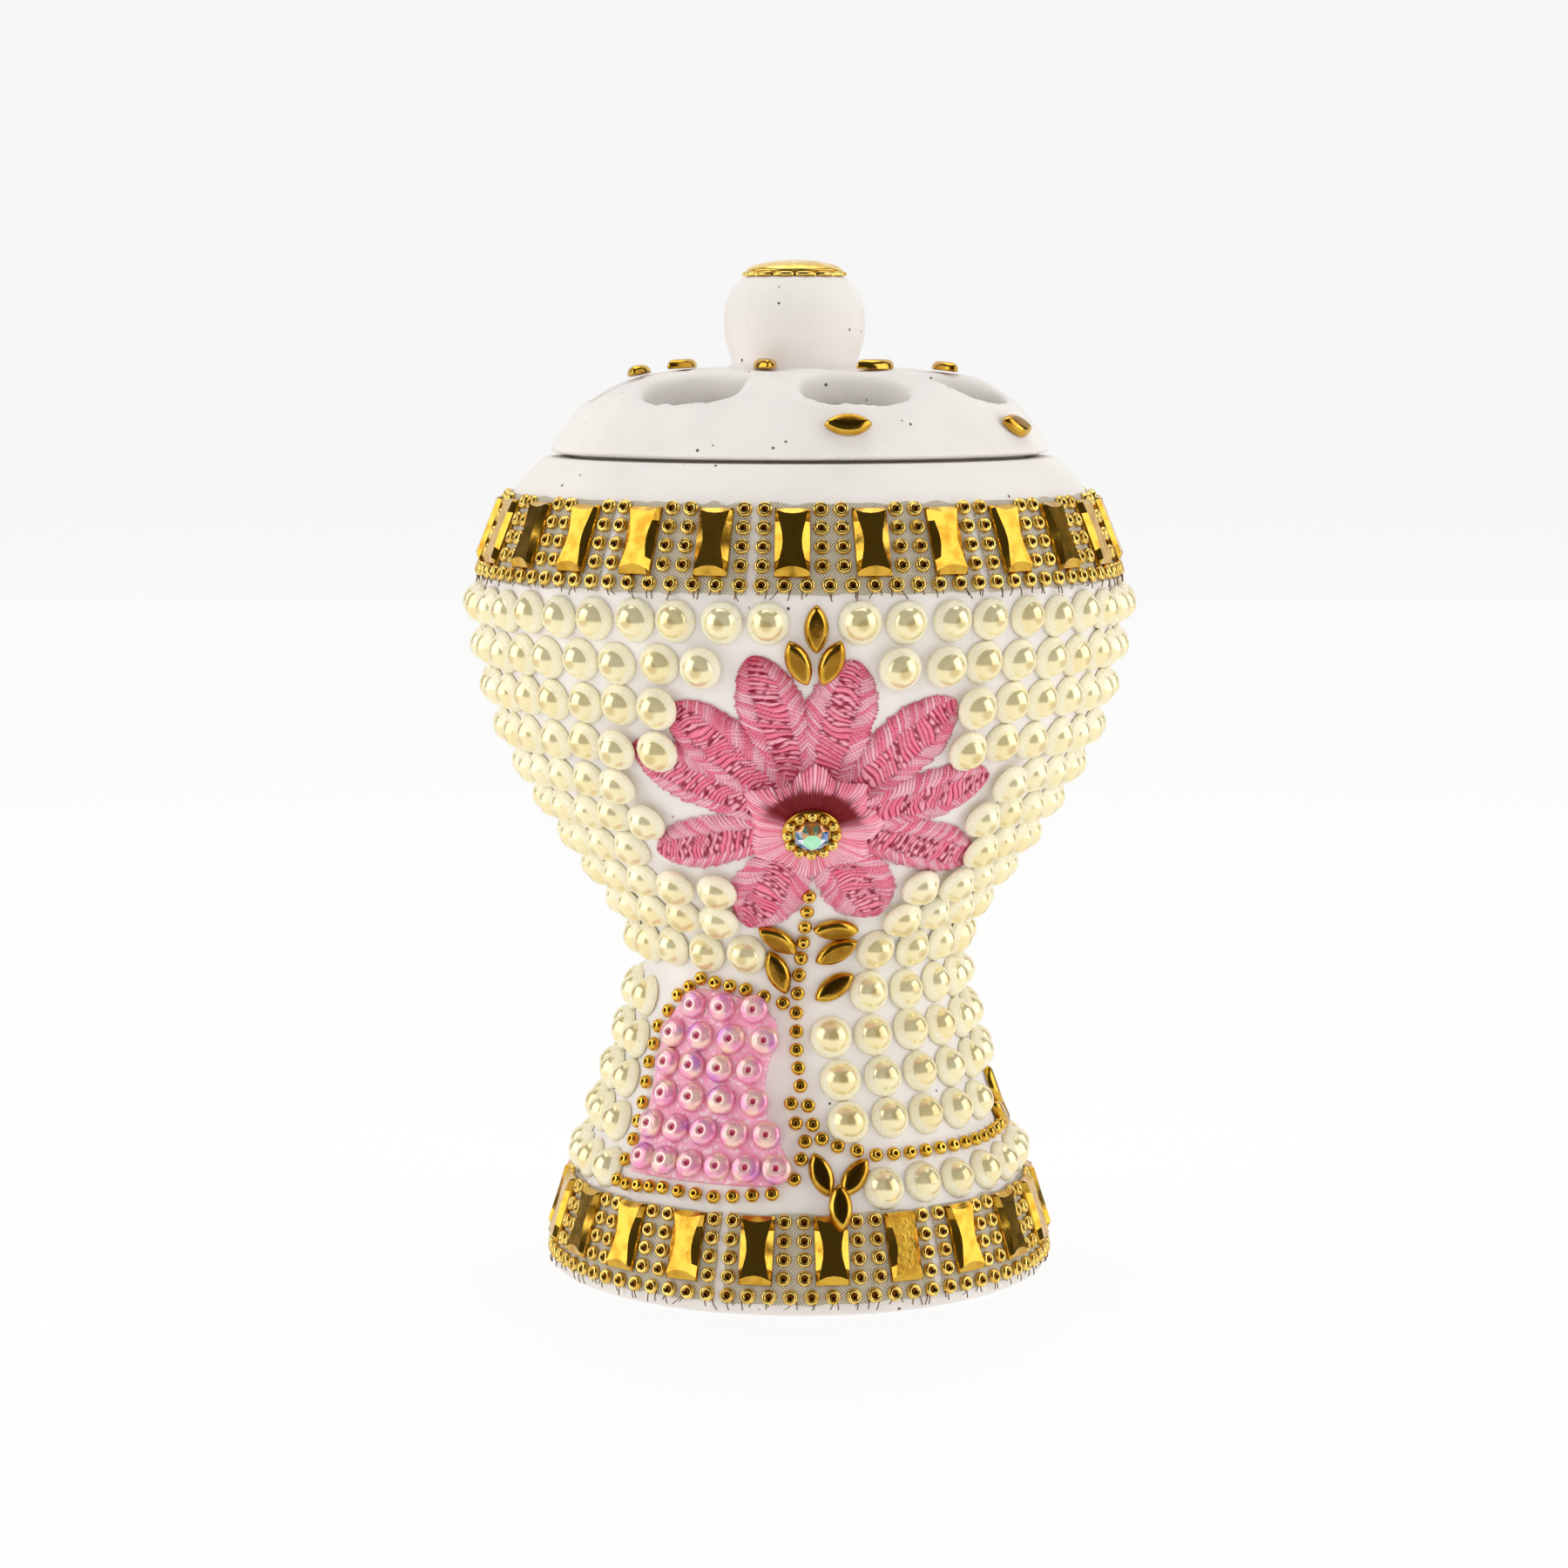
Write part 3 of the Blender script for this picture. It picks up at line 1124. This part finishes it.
class JAR_OT_lid(bpy.types.Operator):
    """Builds the pierced lid and its knob"""

    bl_idname = "jar.lid"
    bl_label = "Lid and knob"

    def execute(self, context):
        make_piece("clay_lid", clay_lid(), clay(), "lid", ["lid"])
        make_piece("clay_knob", clay_knob(), clay(), "lid", ["lid_knob"], sharp=60)
        return {"FINISHED"}


class JAR_OT_cap(bpy.types.Operator):
    """Builds the gilt cap on the knob"""

    bl_idname = "jar.cap"
    bl_label = "Knob cap"

    def execute(self, context):
        for name, shape in (("cap_setting", cap_setting()), ("cap_dome", cap_dome())):
            make_piece(name, shape, pale_gilt(), "lid", [f"knob_{name}"])
        return {"FINISHED"}


class JAR_OT_leaves(bpy.types.Operator):
    """Builds the gilt leaves on the lid and the jar"""

    bl_idname = "jar.leaves"
    bl_label = "Gilt leaves"

    def execute(self, context):
        build_leaves("leaves_on_lid", "lid_leaves", "lid", upwards)
        for node in ("top_sprig", "stem_leaves", "lower_sprig", "side_sprig"):
            build_leaves(f"{node}_gilt", node, "jar", from_axis)
        return {"FINISHED"}


class JAR_OT_trims(bpy.types.Operator):
    """Builds both trims: net tape, plates, ring studs and thread ends"""

    bl_idname = "jar.trims"
    bl_label = "Gilt trims"

    def execute(self, context):
        net = net_finish(tint("net"))
        yarn = plain_finish("thread_ends", linear(120, 92, 60), 0.6)
        for seed, (trim, count) in enumerate((("upper", UPPER_STRIPS), ("lower", LOWER_STRIPS))):
            points, faces, cloth = tape(f"{trim}_trim_mesh", 110 + seed)
            cut = make_piece(f"{trim}_tape", (points, faces), net, "jar",
                             [f"{trim}_trim_mesh"], sharp=50, uv=cloth)
            ends = make_piece(f"{trim}_thread_ends", thread_ends(stud_nodes(trim, count), seed),
                              yarn, "jar")
            found = strips(f"{trim}_trim_mesh")
            shape = stamped(plate(), laid_flat(f"{trim}_trim_plates", from_axis))
            make_piece(f"{trim}_plates", shape, gilt(), "jar",
                       [f"{trim}_trim_plates"], sharp=12)
            for node in stud_nodes(trim, count):
                foot, axes = seats(node)
                ring = stud()
                shape = stamped(ring, (foot, axes), spin=360 * scatter(np.arange(len(foot)), seed))
                make_piece(f"{node}_rings", shape, pale_gilt(), "jar", [node],
                           marks={"hollow": hollows(ring, len(foot), 0.5)})
        return {"FINISHED"}


class JAR_OT_pearls(bpy.types.Operator):
    """Builds the rows of half pearls"""

    bl_idname = "jar.pearls"
    bl_label = "Half pearls"

    def execute(self, context):
        finish = pearl_finish(tint("pearl"))
        shape = pearl()
        height = shape[0][:, 2] / shape[0][:, 2].max()
        for row in range(1, PEARL_ROWS + 1):
            node = f"pearl_row_{row:02d}"
            foot, axes = seats(node)
            number = np.arange(len(foot))
            grow = 0.975 + 0.05 * scatter(number, row)
            marks = {
                "tone": np.repeat(scatter(number, row + 40), len(shape[0])),
                "rim": np.tile(height, len(foot)),
            }
            made = stamped(shape, (foot, axes), spin=360 * scatter(number, row + 80), grow=grow)
            make_piece(f"pearls_{row:02d}", made, finish, "jar", [node],
                       sharp=60, marks=marks)
        return {"FINISHED"}


class JAR_OT_flower(bpy.types.Operator):
    """Builds the embroidered flower with its stone"""

    bl_idname = "jar.flower"
    bl_label = "Flower"

    def execute(self, context):
        pale, full, gap, tip = (tint(n) for n in ("blush", "rose", "magenta", "crimson"))
        outer = thread_finish("petal_thread", pale, full, gap, tip)
        inner = thread_finish("star_thread", pale, full, gap, tint("maroon"))
        shape, marks, cloth = petals()
        patch = make_piece("stitched_petals", shape, outer, "jar",
                           ["flower_outer_petals"], sharp=70, marks=marks, uv=cloth)
        shape, marks, cloth = star()
        centre = make_piece("stitched_star", shape, inner, "jar",
                            ["flower_inner_petals"], sharp=70, marks=marks, uv=cloth)
        points, faces, tints = stone()
        make_piece("rainbow_stone", (points, faces), stone_finish(), "jar",
                   ["stone"], sharp=1, marks={"facet": tints})
        foot, axes = seats("stone_beads")
        ring = bead()
        shape = stamped(ring, (foot, axes), grow=0.74)
        make_piece("stone_ring_beads", shape, pale_gilt(), "jar", ["stone_beads"],
                   marks={"hollow": hollows(ring, len(foot), 0.1)})
        shape = stamped(stone_plate(), seats("stone_setting"))
        make_piece("stone_plate", shape, gilt(), "jar", ["stone_setting"])
        return {"FINISHED"}


class JAR_OT_panel(bpy.types.Operator):
    """Builds the padded pink panel and its studs"""

    bl_idname = "jar.panel"
    bl_label = "Pink panel"

    def execute(self, context):
        cushion = make_piece("pink_pad", pad(), pad_finish(tint("pad")), "jar",
                             ["pink_panel_base"], sharp=60)
        foot, axes = seats("pink_panel_studs")
        ring = pink_stud()
        number = np.arange(len(foot))
        shape = stamped(ring, (foot, axes), spin=360 * scatter(number, 7),
                        grow=0.96 + 0.08 * scatter(number, 8))
        radius = np.hypot(*ring[0][:, :2].T)
        dimple = smooth(0.6, 0.3, radius) * (ring[0][:, 2] > 0.1)
        crown = smooth(1.2, 0.75, radius) * (1 - dimple) * (ring[0][:, 2] > 0.1)
        make_piece("pink_studs", shape, stud_finish(tint("stud")), "jar",
                   ["pink_panel_studs"], marks={"dimple": np.tile(dimple, len(foot)),
                                               "crown": np.tile(crown, len(foot))})
        return {"FINISHED"}


class JAR_OT_chains(bpy.types.Operator):
    """Builds the chains of gilt beads"""

    bl_idname = "jar.chains"
    bl_label = "Bead chains"

    def execute(self, context):
        for node in ("stem_beads", "panel_chain", "side_chain"):
            foot, axes = seats(node)
            ring = bead()
            shape = stamped(ring, (foot, axes), spin=360 * scatter(np.arange(len(foot)), 4))
            make_piece(f"{node}_gilt", shape, bead_gilt(), "jar", [node],
                       marks={"hollow": hollows(ring, len(foot), 0.3)})
        return {"FINISHED"}


class JAR_OT_studio(bpy.types.Operator):
    """Builds the pale floor with its curved backdrop, the soft lights and the camera"""

    bl_idname = "jar.studio"
    bl_label = "Studio"

    def execute(self, context):
        paper = plain_finish("studio_paper", (0.1, 0.1, 0.0995), 0.9)
        shader = paper.node_tree.nodes["Principled BSDF"]
        shader.inputs["Emission Color"].default_value = (1, 1, 0.995, 1)
        shader.inputs["Emission Strength"].default_value = 0.885
        # depth of the floor, radius of the curve behind it, height of the wall, and where the
        # part of the floor begins that shows in the gilt
        reach, bend, top, near = 1400.0, 500.0, 2400.0, -330.0
        angle = np.linspace(0, np.pi / 2, 24)
        rear = np.concatenate([
            np.stack([np.linspace(near, reach, 20)[:-1], np.zeros(19)], 1),
            np.stack([reach + bend * np.sin(angle), bend * (1 - np.cos(angle))], 1),
            [[reach + bend, bend + top]]])
        front = np.array([[-reach, 0], [near, 0]])
        for name, path, mirrored in (("backdrop", rear, True), ("floor_front", front, False)):
            x = np.array([-2400.0, 0, 2400])
            grid = np.stack([np.broadcast_to(x, (len(path), 3)), np.repeat(path[:, :1], 3, 1),
                             np.repeat(path[:, 1:], 3, 1)], -1)
            sheet = bpy.data.meshes.new(name)
            faces = grid_faces(len(path), 3).tolist()
            sheet.from_pydata((grid.reshape(-1, 3) * MM).tolist(), [], faces)
            sheet.polygons.foreach_set("use_smooth", np.ones(len(sheet.polygons), bool))
            sheet.materials.append(paper)
            piece = bpy.data.objects.new(name, sheet)
            piece.visible_glossy = mirrored
            context.scene.collection.objects.link(piece)

        def area(name, turn, rise, distance, wide, high, power, glossy=True):
            """A soft lamp in metres that faces a point 80 mm up the jar's axis."""
            a, e = math.radians(turn), math.radians(rise)
            lamp = bpy.data.lights.new(name, "AREA")
            lamp.shape, lamp.size, lamp.size_y, lamp.energy = "RECTANGLE", wide, high, power
            obj = bpy.data.objects.new(name, lamp)
            obj.location = (distance * math.sin(a) * math.cos(e),
                            -distance * math.cos(a) * math.cos(e),
                            80 * MM + distance * math.sin(e))
            obj.rotation_euler = (math.pi / 2 - e, 0, a)
            obj.visible_glossy = glossy
            obj.visible_camera = False
            context.scene.collection.objects.link(obj)

        area("left_softbox", -78, 12, 0.75, 0.75, 0.9, 4.2)
        area("right_softbox", 78, 12, 0.75, 0.75, 0.9, 4.2)
        area("top_softbox", 180, 78, 0.9, 0.9, 0.7, 4.0)
        area("front_fill", 0, 18, 1.0, 0.9, 0.6, 3.2, glossy=False)
        world = bpy.data.worlds.new("studio_room")
        world.use_nodes = True
        world.node_tree.nodes["Background"].inputs["Color"].default_value = (1, 0.97, 0.93, 1)
        world.node_tree.nodes["Background"].inputs["Strength"].default_value = 0.06
        context.scene.world = world
        context.scene.view_settings.view_transform = "Standard"
        lens = bpy.data.cameras.new("camera")
        lens.lens, lens.sensor_width = CAMERA_LENS, CAMERA_SENSOR
        lens.clip_start, lens.clip_end = 0.05, 20
        camera = bpy.data.objects.new("camera", lens)
        camera.location = CAMERA_PLACE
        camera.rotation_euler = (math.radians(90 - CAMERA_TILT), 0, 0)
        context.scene.collection.objects.link(camera)
        context.scene.camera = camera
        return {"FINISHED"}


class JAR_PT_panel(bpy.types.Panel):
    """Lists the jar's pieces"""

    bl_label = "Powder jar"
    bl_idname = "JAR_PT_panel"
    bl_space_type = "VIEW_3D"
    bl_region_type = "UI"
    bl_category = "Powder jar"

    def draw(self, context):
        for group in (context.scene.jar_colours, context.scene.jar_sizes):
            for name in group.__annotations__:
                self.layout.prop(group, name)
        for operator in OPERATORS:
            self.layout.operator(operator.bl_idname)


OPERATORS = (
    JAR_OT_studio,
    JAR_OT_clay,
    JAR_OT_lid,
    JAR_OT_cap,
    JAR_OT_leaves,
    JAR_OT_trims,
    JAR_OT_pearls,
    JAR_OT_flower,
    JAR_OT_panel,
    JAR_OT_chains,
)
CLASSES = (JarColours, JarSizes, *OPERATORS, JAR_PT_panel)


def register():
    for cls in CLASSES:
        bpy.utils.register_class(cls)
    bpy.types.Scene.jar_colours = bpy.props.PointerProperty(type=JarColours)
    bpy.types.Scene.jar_sizes = bpy.props.PointerProperty(type=JarSizes)


def unregister():
    del bpy.types.Scene.jar_sizes
    del bpy.types.Scene.jar_colours
    for cls in reversed(CLASSES):
        bpy.utils.unregister_class(cls)


def main():
    register()
    for operator in OPERATORS:
        getattr(bpy.ops.jar, operator.bl_idname.split(".")[1])()


if __name__ == "__main__":
    main()
